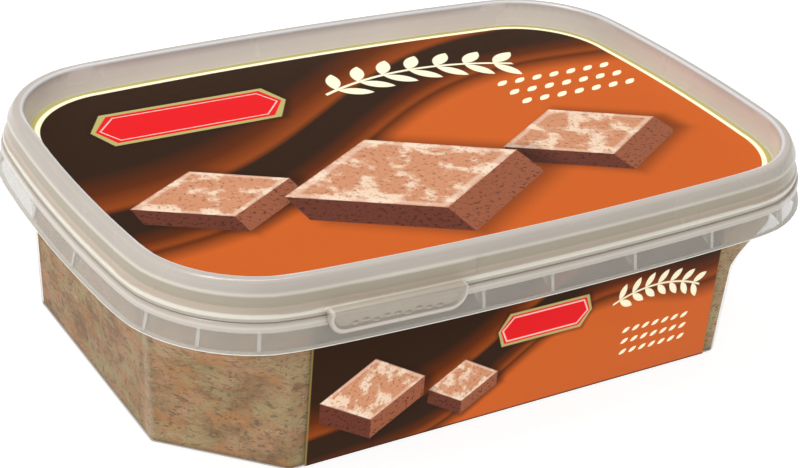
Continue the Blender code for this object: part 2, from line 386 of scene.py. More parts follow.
rim_straight = (RIM_HALF[0] - RIM_BOW[0] - RIM_CORNER) * MM
share = TAB_PLACE / rim_straight
bow_here = RIM_BOW[1] * MM * share ** 2
slope_here = math.atan(2 * RIM_BOW[1] * MM * share / rim_straight)

deselect()
bpy.ops.mesh.primitive_cube_add(size=1, location=(0, 0, 0))
shelf = bpy.context.object
shelf.scale = (2 * TAB_HALF_LENGTH, SHELF_DEPTH, SHELF_THICKNESS)
bpy.ops.object.transform_apply(scale=True)
shelf.location = (0, -SHELF_OUT, SHELF_HEIGHT)
bpy.ops.object.transform_apply(location=True)
modify(shelf, "BEVEL", width=0.3 * MM, segments=3)

tab.rotation_euler = (math.radians(90) + TAB_TILT, 0, 0)
tab.location = (0, -TAB_STANDOFF, TAB_HEAD)
for piece in (tab, shelf):
    only(piece)
    bpy.ops.object.transform_apply(location=True, rotation=True)
    piece.location = (TAB_PLACE, -RIM_HALF[1] * MM + bow_here, 0)
    piece.rotation_euler = (0, 0, slope_here)
    bpy.ops.object.transform_apply(location=True, rotation=True)
lid = join([lid, tab, shelf])
lid.name = "lid_shell"
finish_mesh(lid, 30)

# %% [markdown]
# ## The tub
# The tub's wall leans out, more at the ends than along the sides. Low down its corners are cut
# flat, and under the rim they swell into round shoulders. A stack of outlines, each with a
# slightly rounder bevel profile than the one below, is bridged into that form, once for the
# outside of the wall and once for the inside.

# %% Tub body
BASE_HALF = (61.9, 41.8)
BODY_CORNER = 17.2
DRAFT = (0.057, 0.012)
SHOULDER = (17.5, 23.5)
SWELL_POWER, SWELL_STEPS = 0.9, 8
FLANGE_UNDERSIDE, LIP_INSIDE = 30.7, 31.5
CUT_SOFTNESS = 0.9
TUB_WALL = 0.9
FLOOR = 0.7
ROUND, FLAT = math.sqrt(0.5), 0.5


def body_loop(name, inset, height):
    """The body's outline at a height, inset from its outer face, both in millimetres."""
    rise = (height - SHOULDER[0]) / (SHOULDER[1] - SHOULDER[0])
    cut = 1 - min(max(rise, 0), 1) ** SWELL_POWER
    half = [(size + lean * height - inset) * MM for size, lean in zip(BASE_HALF, DRAFT)]
    corner = BODY_CORNER - inset * (1 - cut * (math.sqrt(2) - 1))
    profile = (ROUND + (FLAT - ROUND) * cut) ** 2
    return outline(name, half, corner * MM, height * MM, profile=profile)


def body_levels(low, high):
    """Heights for the stack of outlines: wide apart on the flat cut, close on the shoulder."""
    foot, head = SHOULDER
    swell = [foot + (head - foot) * step / SWELL_STEPS for step in range(SWELL_STEPS + 1)]
    return [low, 0.5 * foot] + swell + [high]


def bridge(low, high):
    """Bridges the open loops at two heights in millimetres."""
    def open_loop(edge):
        heights = {round(vert.co.z / MM, 2) for vert in edge.verts}
        return len(edge.link_faces) < 2 and len(heights) == 1 and heights <= {round(low, 2), round(high, 2)}
    pick("EDGE", open_loop)
    bpy.ops.mesh.bridge_edge_loops()


def cap(height):
    """Closes the open loop at a height in millimetres."""
    pick("EDGE", lambda edge: len(edge.link_faces) < 2 and abs(middle(edge).z / MM - height) < 0.01)
    bpy.ops.mesh.edge_face_add()


def body_side(name, inset, levels):
    """One upright skin of the body, closed at its lowest level."""
    side = join([body_loop(name, inset, level) for level in levels])
    edit(side)
    for low, high in zip(levels, levels[1:]):
        bridge(low, high)
    cap(levels[0])
    return side


def soften(softness):
    """In edit mode, rounds the body's cut edges and the edge of its base."""
    lowest = min(vert.co.z for vert in bmesh.from_edit_mesh(bpy.context.object.data).verts)

    def is_sharp(edge):
        if len(edge.link_faces) < 2:
            return False
        on_base = all(vert.co.z < lowest + 0.01 * MM for vert in edge.verts)
        upright_edge = abs(edge.verts[0].co.z - edge.verts[1].co.z) > 1 * MM
        return on_base or (upright_edge and edge.calc_face_angle(0) > math.radians(22))
    pick("EDGE", is_sharp)
    bpy.ops.mesh.bevel(offset=softness * MM, segments=4, affect="EDGES", profile=0.5)


OUTER_LEVELS = body_levels(0, FLANGE_UNDERSIDE)
INNER_LEVELS = body_levels(FLOOR, LIP_INSIDE)
body = body_side("tub_shell", 0, OUTER_LEVELS)
soften(CUT_SOFTNESS)
body_inside = body_side("body_inside", TUB_WALL, INNER_LEVELS)
deselect()
print("body skins", len(body.data.polygons), len(body_inside.data.polygons), "faces")

# %% [markdown]
# Above the body the tub turns out into a flange with an upright lip, which the lid clips over,
# and its edge hangs down as a skirt. The skirt's outer face, the flange and the lip are one
# section again. The skirt's inner face is a second one, and bridging the open edges closes the
# wall. A bevel leaves hairline cracks where rounded edges meet, so small holes are filled after it.

# %% Tub rim
SKIRT_SECTION = [
    (4.5, 26.75), (4.9, 26.9), (4.0, 30.4), (4.15, 30.6), (4.0, 31.8), (3.7, 32.0),
    (1.85, 32.0), (1.85, 35.4), (1.65, 35.6), (1.2, 35.5), (1.2, LIP_INSIDE),
]
SKIRT_INSIDE = [(4.1, 26.9), (3.2, FLANGE_UNDERSIDE)]


def ring(name, section):
    """A sheet along a section, open at both ends."""
    sheet = rim_loop(name, *section[0])
    fill(sheet)
    follow(section)
    bpy.ops.mesh.delete(type="ONLY_FACE")
    uncap(section[0][1])
    deselect()
    return sheet


rim_outside = ring("rim_outside", SKIRT_SECTION)
rim_inside = ring("rim_inside", SKIRT_INSIDE)
tub = join([body, body_inside, rim_outside, rim_inside])
edit(tub)
bridge(SKIRT_SECTION[0][1], SKIRT_INSIDE[0][1])
bridge(FLANGE_UNDERSIDE, FLANGE_UNDERSIDE)
bridge(LIP_INSIDE, LIP_INSIDE)
deselect()
modify(tub, "BEVEL", width=0.12 * MM, segments=2, limit_method="ANGLE", angle_limit=math.radians(32))
edit(tub)
bpy.ops.mesh.select_all(action="SELECT")
bpy.ops.mesh.fill_holes(sides=8)
deselect()
finish_mesh(tub, 30)

# %% [markdown]
# Thin webs stand under the flange and brace the skirt against the wall, like small gussets.
# One web is modelled as a prism with its foot at the skirt. Each copy is stretched until it meets
# the wall, and turned into its place: evenly along the sides and three round each corner.

# %% Ribs
RIB_THICKNESS = 0.6 * MM
RIB_FOOT, RIB_HEAD = 27.15 * MM, 31.0 * MM
RIB_OUT_FOOT, RIB_OUT_HEAD = 4.35 * MM, 3.55 * MM
RIB_AT_WALL, RIB_MIDDLE = 1.0 * MM, 30.5
PITCH, BESIDE_TAB = 17.4, -13.6


def rib():
    """A triangular web in the plane of X = 0, from the skirt on its -Y side to Y = 0."""
    deselect()
    bpy.ops.mesh.primitive_cube_add(size=2)
    web = bpy.context.object
    web.scale = (RIB_THICKNESS / 2, 1, 1)
    bpy.ops.object.transform_apply(scale=True)
    edit(web)
    corners = {
        (-1, -1): (-RIB_OUT_FOOT, RIB_FOOT), (-1, 1): (-RIB_OUT_HEAD, RIB_HEAD),
        (1, -1): (0, RIB_HEAD - RIB_AT_WALL), (1, 1): (0, RIB_HEAD),
    }
    for (side, end), (y, z) in corners.items():
        pick("VERT", lambda vert: vert.co.y * side > 0.5 and vert.co.z * end > 0.5)
        bpy.ops.transform.translate(value=(0, y - side, z - end))
    deselect()
    return web


def stretch(web, depth):
    """Moves the web's edge at Y = 0 to a depth, where the wall is."""
    edit(web)
    pick("VERT", lambda vert: vert.co.y > -0.5 * MM)
    bpy.ops.transform.translate(value=(0, depth, 0))
    only(web)


def rib_places():
    """Where each rib stands on the rim's outline, which way it faces, and its depth, in mm."""
    corner_x = RIM_HALF[0] - RIM_BOW[0] - RIM_CORNER
    corner_y = RIM_HALF[1] - RIM_BOW[1] - RIM_CORNER
    wall_x, wall_y = [
        size + lean * RIB_MIDDLE - TUB_WALL / 2 for size, lean in zip(BASE_HALF, DRAFT)
    ]
    wall_corner = BODY_CORNER - TUB_WALL / 2
    places = []
    front, back = (BESIDE_TAB, 0, PITCH, 2 * PITCH), [step * PITCH for step in range(-2, 3)]
    for side, along in ((-1, front), (1, back)):
        for x in along:
            y = RIM_HALF[1] - RIM_BOW[1] * (x / corner_x) ** 2
            places.append((x, side * y, side * 90, y - wall_y))
    for side in (-1, 1):
        for y in (-PITCH / 2, PITCH / 2):
            x = RIM_HALF[0] - RIM_BOW[0] * (y / corner_y) ** 2
            places.append((side * x, y, 90 - side * 90, x - wall_x))
    for side_x, side_y, start in ((1, 1, 0), (-1, 1, 90), (-1, -1, 180), (1, -1, 270)):
        for turn in (22.5, 45, 67.5):
            way = Vector((math.cos(math.radians(start + turn)), math.sin(math.radians(start + turn))))
            centre = Vector((side_x * corner_x, side_y * corner_y))
            to_wall = centre - Vector((side_x * (wall_x - wall_corner), side_y * (wall_y - wall_corner)))
            along_way = to_wall.dot(way)
            run = math.sqrt(along_way ** 2 - to_wall.length_squared + wall_corner ** 2) - along_way
            spot = centre + way * RIM_CORNER
            places.append((spot.x, spot.y, start + turn, RIM_CORNER - run))
    return places


places = rib_places()
first = rib()
ribs = [first] + [copy_of(first) for place in places[1:]]
for web, (x, y, facing, depth) in zip(ribs, places):
    stretch(web, depth * MM)
    web.location = (x * MM, y * MM, 0)
    web.rotation_euler = (0, 0, math.radians(facing + 90))
    bpy.ops.object.transform_apply(location=True, rotation=True)
tub = join([tub] + ribs)
tub.name = "tub_shell"
finish_mesh(tub, 30)
print("tub with", len(ribs), "ribs")

# %% [markdown]
# ## The halva
# Halva is a stiff paste that is pressed into the tub while warm, so it takes the tub's form and
# touches its wall all over. Its skin is the same stack of outlines, set half-way into the
# plastic's wall so that no gap of air shows, and closed by a flat top whose narrow border keeps
# the shading of its edge even.

# %% Halva block
HALVA_INSET, HALVA_FOOT, HALVA_SOFTNESS = 0.45, 0.25, 0.3
HALVA_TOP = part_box("halva")[1].z / MM

halva = body_side("halva_block", HALVA_INSET, body_levels(HALVA_FOOT, HALVA_TOP))
soften(HALVA_SOFTNESS)
pick("EDGE", lambda edge: len(edge.link_faces) < 2)
bpy.ops.mesh.edge_face_add()
bpy.ops.mesh.inset(thickness=0.8 * MM, depth=0)
deselect()
finish_mesh(halva, 30)

# %% [markdown]
# ## The labels
# The labels are printed film that is moulded onto the plastic. The one on the lid fills the
# sunk panel to its edge. The two on the long walls are upright sheets that follow the wall's
# slight lean. Each is a thin plate with softened edges.

# %% Lid label
LABEL_SECTION = [(-0.7, PANEL_TOP + 0.02), (-0.7, PANEL_TOP + 0.2), (-0.78, PANEL_TOP + 0.28)]
lid_label = rim_loop("lid_print", *LABEL_SECTION[0])
fill(lid_label)
follow(LABEL_SECTION)
pick("EDGE", lambda edge: len(edge.link_faces) < 2)
bpy.ops.mesh.edge_face_add()
deselect()
finish_mesh(lid_label, 30)

# %% Wall labels
WALL_LABEL_HALF = 42.1 * MM
WALL_LABEL_FOOT, WALL_LABEL_HEAD = 0.55 * MM, 26.6 * MM
WALL_LABEL_THICKNESS = 0.22 * MM


def wall_print(name, side):
    """A plate on the long wall at -Y or +Y, leaning as the wall does."""
    deselect()
    bpy.ops.mesh.primitive_cube_add(size=1, location=(0, 0, 0.5))
    plate = bpy.context.object
    plate.name = name
    bpy.ops.object.transform_apply(location=True)
    plate.scale = (2 * WALL_LABEL_HALF, WALL_LABEL_THICKNESS, WALL_LABEL_HEAD - WALL_LABEL_FOOT)
    plate.rotation_euler = (-side * math.atan(DRAFT[1]), 0, 0)
    wall_at_foot = BASE_HALF[1] * MM + DRAFT[1] * WALL_LABEL_FOOT
    plate.location = (0, side * (wall_at_foot + 0.6 * WALL_LABEL_THICKNESS), WALL_LABEL_FOOT)
    bpy.ops.object.transform_apply(location=True, rotation=True, scale=True)
    modify(plate, "BEVEL", width=0.06 * MM, segments=2)
    finish_mesh(plate, 30)
    return plate


front_label = wall_print("front_print", -1)
back_label = wall_print("back_print", 1)

# %% [markdown]
# ## Shader maths
# The finishes are worked out from each point's own place on the object. One small class wraps a
# socket, so that sums on sockets can be written as plain Python, and one method makes any other
# node from its type, its settings and the values of its sockets.

# %% Socket class
class Socket:
    """An output of a node, with the arithmetic that the finishes use."""

    def __init__(self, tree, output):
        self.tree = tree
        self.output = output

    def node(self, kind, settings=None, values=None, output=0):
        """A new node in the same tree: settings first, then the values or links of its sockets."""
        made = self.tree.nodes.new(kind)
        for name, setting in (settings or {}).items():
            if name == "stops":
                ramp = made.color_ramp
                for place, colour in setting[1:-1]:
                    ramp.elements.new(place).color = (*colour, 1)
                for end, (place, colour) in ((0, setting[0]), (-1, setting[-1])):
                    ramp.elements[end].position = place
                    ramp.elements[end].color = (*colour, 1)
            else:
                setattr(made, name, setting)
        for name, value in (values or {}).items():
            socket = made.inputs[name]
            if isinstance(value, Socket):
                self.tree.links.new(value.output, socket)
            elif isinstance(value, tuple) and len(value) == 3 and socket.type == "RGBA":
                socket.default_value = (*value, 1)
            else:
                socket.default_value = value
        return Socket(self.tree, made.outputs[output])

    def math(self, operation, first, second=0.0, clamp=False):
        """A sum on one or two values."""
        settings = {"operation": operation, "use_clamp": clamp}
        return self.node("ShaderNodeMath", settings, {0: first, 1: second})

    def __add__(self, other):
        return self.math("ADD", self, other)

    __radd__ = __add__

    def __sub__(self, other):
        return self.math("SUBTRACT", self, other)

    def __rsub__(self, other):
        return self.math("SUBTRACT", other, self)

    def __mul__(self, other):
        return self.math("MULTIPLY", self, other)

    __rmul__ = __mul__

    def __truediv__(self, other):
        return self.math("DIVIDE", self, other)

    def __pow__(self, power):
        return self.math("POWER", self, power)

    def __abs__(self):
        return self.math("ABSOLUTE", self)

    def highest(self, other):
        return self.math("MAXIMUM", self, other)

    def lowest(self, other):
        return self.math("MINIMUM", self, other)

    def sine(self):
        return self.math("SINE", self)

    def clamped(self):
        return self.math("ADD", self, 0.0, clamp=True)

    def ramp(self, low, high):
        """0 up to low, 1 from high on, and a smooth rise between."""
        settings = {"interpolation_type": "SMOOTHSTEP"}
        return self.node("ShaderNodeMapRange", settings, {0: self, 1: low, 2: high, 3: 0.0, 4: 1.0})

    def mix(self, start, end):
        """A colour between start, where this is 0, and end, where it is 1."""
        return self.node("ShaderNodeMix", {"data_type": "RGBA"}, {0: self, 6: start, 7: end}, output=2)

    def scaled(self, factor):
        """A colour made lighter or darker by a factor."""
        return self.node("ShaderNodeVectorMath", {"operation": "SCALE"}, {0: self, "Scale": factor})


def linear(red, green, blue):
    """A colour read off a picture in steps of 0 to 255, as Blender's linear values."""
    def step(value):
        value = value / 255
        return value / 12.92 if value < 0.04045 else ((value + 0.055) / 1.055) ** 2.4
    return (step(red), step(green), step(blue))


def new_finish(name, **constants):
    """A material with its shader's constants set, and the place of each point in millimetres."""
    material = bpy.data.materials.new(name)
    material.use_nodes = True
    shader = material.node_tree.nodes["Principled BSDF"]
    for key, value in constants.items():
        shader.inputs[key.replace("_", " ")].default_value = value
    here = Socket(material.node_tree, material.node_tree.nodes.new("ShaderNodeTexCoord").outputs["Object"])
    place = here.node("ShaderNodeVectorMath", {"operation": "SCALE"}, {0: here, "Scale": 1 / MM})
    return material, shader, place


def feed(shader, **sockets):
    """Links finished sockets to the shader."""
    for key, value in sockets.items():
        value.tree.links.new(value.output, shader.inputs[key.replace("_", " ")])


def axes(place):
    """The three coordinates of a place."""
    parts = place.node("ShaderNodeSeparateXYZ", {}, {0: place})
    return [Socket(place.tree, parts.output.node.outputs[i]) for i in range(3)]


def noise(place, scale, detail=3.0, roughness=0.55, stretch=(1, 1, 1), shift=0.0):
    """Smooth noise from 0 to 1, with features of about 1 / scale mm; a shift gives another pattern."""
    mapped = {"Vector": place, "Scale": stretch, "Location": (shift,) * 3}
    spread = place.node("ShaderNodeMapping", {}, mapped)
    return place.node("ShaderNodeTexNoise", {}, {
        "Vector": spread, "Scale": scale, "Detail": detail, "Roughness": roughness, "Lacunarity": 2.17,
    })


def bumped(height, strength, distance):
    """A normal from a height, for the shader."""
    return height.node("ShaderNodeBump", {}, {"Height": height, "Strength": strength, "Distance": distance})


# %% [markdown]
# ## Places on the rim
# Many of the finishes change with the distance from the rim's edge, such as the lines round the
# print and the bends of the lid. The outline is a rectangle with round corners and bowed sides,
# so its distance can be worked out in the shader with a few sums.

# %% Distance from the rim
def rim_distance(x, y):
    """How far a point lies outside the crest's inner edge, in millimetres."""
    corner = [size - bow - RIM_CORNER for size, bow in zip(RIM_HALF, RIM_BOW)]
    share_x = (abs(x) / corner[0]).lowest(1.0)
    share_y = (abs(y) / corner[1]).lowest(1.0)
    past_x = abs(x) - RIM_BOW[0] * (1 - share_y * share_y) - corner[0]
    past_y = abs(y) - RIM_BOW[1] * (1 - share_x * share_x) - corner[1]
    round_x, round_y = past_x.highest(0.0), past_y.highest(0.0)
    return (round_x * round_x + round_y * round_y) ** 0.5 + past_x.highest(past_y).lowest(0.0) - RIM_CORNER


def inside(distance, softness=0.12):
    """1 where a distance is below zero and 0 outside, with a soft step in millimetres."""
    return 1 - distance.ramp(-softness, softness)


def flat_place(u, v):
    """A place from two coordinates."""
    return u.node("ShaderNodeCombineXYZ", {}, {0: u, 1: v})


def by_height(z, steps):
    """A colour that changes with the height in millimetres, from (height, colour) steps."""
    low, high = steps[0][0], steps[-1][0]
    share = z.node("ShaderNodeMapRange", {}, {0: z, 1: low, 2: high, 3: 0.0, 4: 1.0})
    stops = [((height - low) / (high - low), colour) for height, colour in steps]
    return share.node("ShaderNodeValToRGB", {"stops": stops}, {0: share})


# %% [markdown]
# ## Milky plastic
# Polypropylene is cloudy rather than clear: light goes a little way in and comes out again, and
# what stands right behind it shows through. Full light transport through a scattering wall would
# be slow and noisy, and the wall is thin, so each face is a soft gloss that lets part of the
# light straight through. Highlights are painted into the colour along the bends and free edges,
# shade is painted onto the lid's steep walls and the tub's foot, and the inner wall has a painted glow.

# %% Lid plastic
# Colours of painted highlights on the plastic's edges and on the crest's inner bend.
EDGE_HIGHLIGHT, CREST_HIGHLIGHT = linear(236, 230, 216), linear(220, 220, 222)
BORDER_MIDDLE, BORDER_REACH = 0.38, 0.3


def tab_border_highlight(x, z):
    """1 on the raised border round the tab, which carries a painted highlight."""
    past_x = (abs(x - TAB_PLACE / MM) - (TAB_HALF_LENGTH - TAB_CORNER) / MM).highest(0.0)
    past_z = ((TAB_FOOT + TAB_CORNER) / MM - z).highest(0.0)
    edge = (past_x * past_x + past_z * past_z) ** 0.5 - TAB_CORNER / MM
    return inside(abs(edge + BORDER_MIDDLE) - BORDER_REACH, 0.15)


def lid_finish():
    """The lid's plastic: painted shade on the steep walls, painted highlights on the bends, edges and tab
    border, and a painted glow on the inner wall.
    """
    material, shader, place = new_finish("milky lid", IOR=1.49, Specular_IOR_Level=0.5, Emission_Strength=1.0)
    x, y, z = axes(place)
    outside = rim_distance(x, y)
    # Height bands of the lid's colour: the pale bands at 32.8 to 33.1 mm and 36.3 to 36.5 mm are painted
    # highlights along the ledge's edge and the outer wall's bend, and the steep wall from 34.45 to 36 mm is
    # painted darker as shade.
    colour = by_height(z, [
        (32.0, linear(196, 188, 176)), (32.55, linear(190, 180, 166)), (32.8, EDGE_HIGHLIGHT), (33.1, EDGE_HIGHLIGHT),
        (33.3, linear(202, 186, 168)), (34.2, linear(196, 180, 162)), (34.45, linear(176, 164, 144)),
        (36.0, linear(178, 167, 148)), (36.3, linear(220, 212, 198)), (36.5, linear(220, 212, 198)),
        (36.8, linear(196, 187, 177)), (38.4, linear(196, 187, 177)),
    ])
    # Painted highlights: a pale line along the crest's inner bend and another along the ledge's outer edge.
    crest_highlight = inside(abs(outside - 0.25) - 0.3, 0.25) * z.ramp(37.8, 38.2)
    inner_wall = inside(outside + 0.05, 0.15) * (1 - z.ramp(37.9, 38.3))
    lid_edge_highlight = inside(abs(outside - 3.66) - 0.12, 0.1) * z.ramp(32.7, 32.9)
    on_tab = outside.ramp(3.82, 3.92)
    # Painted light: the inner wall is painted paler than the rest of the lid.
    colour = inner_wall.mix(colour, linear(220, 211, 202))
    colour = crest_highlight.mix(colour, CREST_HIGHLIGHT)
    colour = lid_edge_highlight.mix(colour, EDGE_HIGHLIGHT)
    # Painted highlight: the tab's raised border is painted paler than its hollow.
    colour = on_tab.mix(colour, tab_border_highlight(x, z).mix(linear(192, 181, 166), linear(222, 213, 202)))
    cloud = noise(place, 0.07, 3.0, 0.5)
    lines = noise(flat_place(outside, z), 1.6, 2.0, 0.5)
    colour = colour.scaled(0.90 + 0.12 * cloud + 0.08 * lines)
    feed(shader, Base_Color=colour, Roughness=0.2 + 0.12 * cloud, Alpha=0.95 - 0.13 * on_tab)
    # Painted glow: the inner wall gives off a little light of its own, most strongly near the long sides, in
    # place of light coming through the plastic.
    painted_glow = inner_wall * (abs(y) * (1 / RIM_HALF[1])) ** 6.0
    feed(shader, Emission_Color=painted_glow.mix((0, 0, 0), (0.2, 0.185, 0.18)))
    feed(shader, Normal=bumped(noise(place, 0.25, 2.0) + 0.3 * lines, 0.08, 0.2 * MM))
    return material


lid_plastic = lid_finish()

# %% Tub plastic
SKIRT_LEAN = 0.25
SKIRT_MIDDLE = 4.5


def cut_edge(x, y, z):
    """How far a point is from the upright edges where the body's ends meet its cut corners."""
    past_x = abs(x) - BASE_HALF[0] - DRAFT[0] * z
    past_y = abs(y) - BASE_HALF[1] - DRAFT[1] * z + BODY_CORNER
    return abs(past_x) + abs(past_y)


def tub_finish():
    """The tub's plastic: a clear wall and a cloudy skirt, flange and webs, with painted highlights on edges
    and ribs and painted shade at the foot.
    """
    material, shader, place = new_finish("milky tub", IOR=1.49, Specular_IOR_Level=0.35)
    x, y, z = axes(place)
    outside = rim_distance(x, y)
    # Height bands of the tub's colour: the pale band at the skirt's lower edge and the pale band on the
    # flange at 31.25 mm are painted highlights.
    colour = by_height(z, [
        (26.7, EDGE_HIGHLIGHT), (26.98, EDGE_HIGHLIGHT),
        (27.15, linear(192, 186, 176)), (30.2, linear(196, 190, 180)),
        (30.5, linear(208, 200, 190)), (31.0, linear(214, 206, 194)), (31.25, linear(228, 220, 208)),
        (31.6, linear(208, 199, 187)), (32.1, linear(190, 178, 164)), (35.6, linear(205, 195, 185)),
    ])
    on_skirt = outside.ramp(2.9, 3.1)
    below = 1 - z.ramp(26.98, 27.12)
    flange = z.ramp(30.25, 30.5)
    # Painted highlights: pale, less clear lines on the skirt along its lower edge and where each rib meets
    # it, and along each web's slanting edge.
    rib_highlight = inside(abs(outside - SKIRT_MIDDLE + SKIRT_LEAN * (z - 26.9)) - 0.12, 0.05) * (1 - flange)
    web = outside.ramp(1.1, 1.3) * (1 - on_skirt) * (1 - flange)
    web_highlight = inside(abs(z - 27.35 - 0.487 * (4.35 - outside)) - 0.14, 0.08) * web
    painted_highlight = (below.highest(rib_highlight) * on_skirt).highest(web_highlight)
    # Painted highlight: the wall is made more opaque along the body's upright cut edges, so that a pale line
    # shows there.
    edge = 1 - cut_edge(x, y, z).ramp(0.2, 1.9)
    # Painted shade: along the tub's foot the wall turns dark and less clear.
    foot = 1 - z.ramp(0.15, 0.5)
    cloud = noise(place, 0.1, 3.0, 0.5)
    body = (1 - on_skirt) * (1 - web)
    colour = body.mix(colour, foot.mix(linear(204, 190, 162), linear(104, 90, 66)))
    colour = web.mix(colour, linear(230, 225, 216))
    colour = painted_highlight.mix(colour, linear(250, 246, 238))
    wall = 0.12 + 0.22 * edge * body + 0.4 * foot * body
    alpha = wall + on_skirt * 0.31 + web * 0.5 + flange * 0.45 + painted_highlight * 0.5 + 0.05 * (cloud - 0.5)
    feed(shader, Base_Color=colour, Alpha=alpha.clamped(), Roughness=0.16 + 0.12 * cloud)
    feed(shader, Normal=bumped(noise(place, 0.2, 2.0), 0.08, 0.2 * MM))
    return material


tub_plastic = tub_finish()

# %% [markdown]
# ## Marbled halva
# Ground sesame and sugar are folded with cocoa, so the mass shows cloudy patches of olive cream,
# orange tan and pinkish tan, dark crumbs drawn out along the way it was pressed, and thin pale
# veins. Each of these is one layer of noise at its own size, laid over the one before. The mass is
# also a little paler towards one end.

# %% Halva finish
def halva_finish():
    """Layers of noise, each at its own size, from the broad clouds to the dark crumbs."""
    material, shader, place = new_finish("marbled halva", Roughness=0.7, Specular_IOR_Level=0.2)
    x, _, z = axes(place)
    clouds = noise(place, 0.10, 5.0, 0.62, (1, 1, 1.8))
    olive = noise(place, 0.16, 5.0, 0.65, (0.8, 0.8, 1.5), 17.0).ramp(0.48, 0.62)
    orange = noise(place, 0.17, 5.0, 0.65, (0.7, 0.7, 1.6), 40.0).ramp(0.50, 0.62)
    pink = noise(place, 0.15, 5.0, 0.65, (0.9, 0.9, 1.4), -35.0).ramp(0.46, 0.60)
    crumb = noise(place, 1.0, 3.0, 0.65, (0.6, 0.6, 1.4), 5.0)
    speck = noise(place, 1.9, 2.0, 0.6, (0.6, 0.6, 1.2), 23.0)
    chip = noise(place, 0.5, 2.0, 0.5, (0.5, 0.5, 1.6), 11.0)
    grain = noise(place, 3.2, 2.0, 0.6, (0.8, 0.8, 1.3), -9.0)
    base = clouds.ramp(0.38, 0.62).mix(linear(134, 96, 60), linear(164, 127, 87))
    base = (pink * 0.75).mix(base, linear(186, 140, 104))
    base = (orange * 0.7).mix(base, linear(178, 120, 64))
    base = (olive * 0.7).mix(base, linear(168, 152, 106))
    base = (x.ramp(36, 52) * 0.5).mix(base, linear(206, 186, 148))
    vein = 1 - abs(noise(place, 0.10, 3.0, 0.5, (0.6, 0.6, 1.2)) - 0.5).ramp(0.0, 0.007)
    base = (vein * 0.45 * clouds.ramp(0.5, 0.6)).mix(base, linear(208, 186, 150))
    base = base.scaled(0.66 + 0.64 * grain)
    base = (crumb.ramp(0.57, 0.63) * 0.62).mix(base, linear(82, 54, 34))
    base = (speck.ramp(0.60, 0.66) * 0.6).mix(base, linear(78, 52, 34))
    base = (chip.ramp(0.66, 0.70) * 0.6).mix(base, linear(116, 66, 36))
    # Painted shade: the halva is darkened over its lowest 1.5 mm, where it meets the tub's floor.
    base = ((1 - z.ramp(0.3, 1.5)) * 0.6).mix(base, linear(84, 64, 38))
    feed(shader, Base_Color=base)
    feed(shader, Normal=bumped(grain + crumb, 0.25, 0.3 * MM))
    return material


halva_mass = halva_finish()

# %% [markdown]
# ## The print
# The labels carry plain folds of cocoa brown, russet and orange, a red ribbon, diamond cuts of
# halva, a cream sprig and rows of sesame seeds. A picture file could give all that, but shapes
# that are given by distances stay crisp at any size: a shape is wherever its distance is below
# zero.

# %% Colours of the print
COCOA, RUSSET = linear(48, 28, 13), linear(94, 40, 6)
AMBER, ORANGE = linear(144, 66, 17), linear(202, 95, 34)
CREAM, GOLD, RED = linear(255, 248, 214), linear(184, 174, 108), linear(228, 26, 32)
TAN, TAN_PALE = linear(206, 144, 108), linear(238, 208, 180)
SIDE_LIT, SIDE_DARK = linear(150, 88, 62), linear(104, 54, 40)


# %% Shapes from distances
def polygon(place, corners):
    """The distance to a convex shape whose corners run anticlockwise."""
    distance = None
    for (x0, y0), (x1, y1) in zip(corners, corners[1:] + corners[:1]):
        length = math.hypot(x1 - x0, y1 - y0)
        normal = ((y1 - y0) / length, (x0 - x1) / length, 0)
        settings = {"operation": "DOT_PRODUCT"}
        away = place.node("ShaderNodeVectorMath", settings, {0: place, 1: normal}, output=1)
        away = away - (normal[0] * x0 + normal[1] * y0)
        distance = away if distance is None else distance.highest(away)
    return distance


def reach(place, centre):
    """The distance to a point."""
    settings = {"operation": "DISTANCE"}
    return place.node("ShaderNodeVectorMath", settings, {0: place, 1: (*centre, 0)}, output=1)


def seed(place, centre, angle, length, width):
    """A lens with pointed ends, as two overlapping circles."""
    radius = (length ** 2 + width ** 2) / (4 * width)
    shift = radius - width / 2
    across = (-math.sin(angle) * shift, math.cos(angle) * shift)
    first = reach(place, (centre[0] + across[0], centre[1] + across[1]))
    second = reach(place, (centre[0] - across[0], centre[1] - across[1]))
    return first.highest(second) - radius


# %% Folds of colour
def folds(u, v, size, shift=0.0):
    """Flowing folds, dark at the upper left and orange along the lower edge and the right."""
    drift = (u * (0.052 / size) + 0.4).sine() * (8 * size)
    swell = (u * (0.021 / size) - v * (0.034 / size) + 1.0).sine() * (9 * size)
    level = (u * 0.30 - v + drift + swell) * (1 / size) + shift
    return by_height(level, [
        (-60.0, COCOA), (-28.0, COCOA), (-19.0, RUSSET), (-12.0, AMBER), (-9.5, COCOA), (0.0, COCOA),
        (5.0, RUSSET), (8.0, AMBER), (9.5, RUSSET), (15.0, ORANGE), (62.0, ORANGE),
    ])


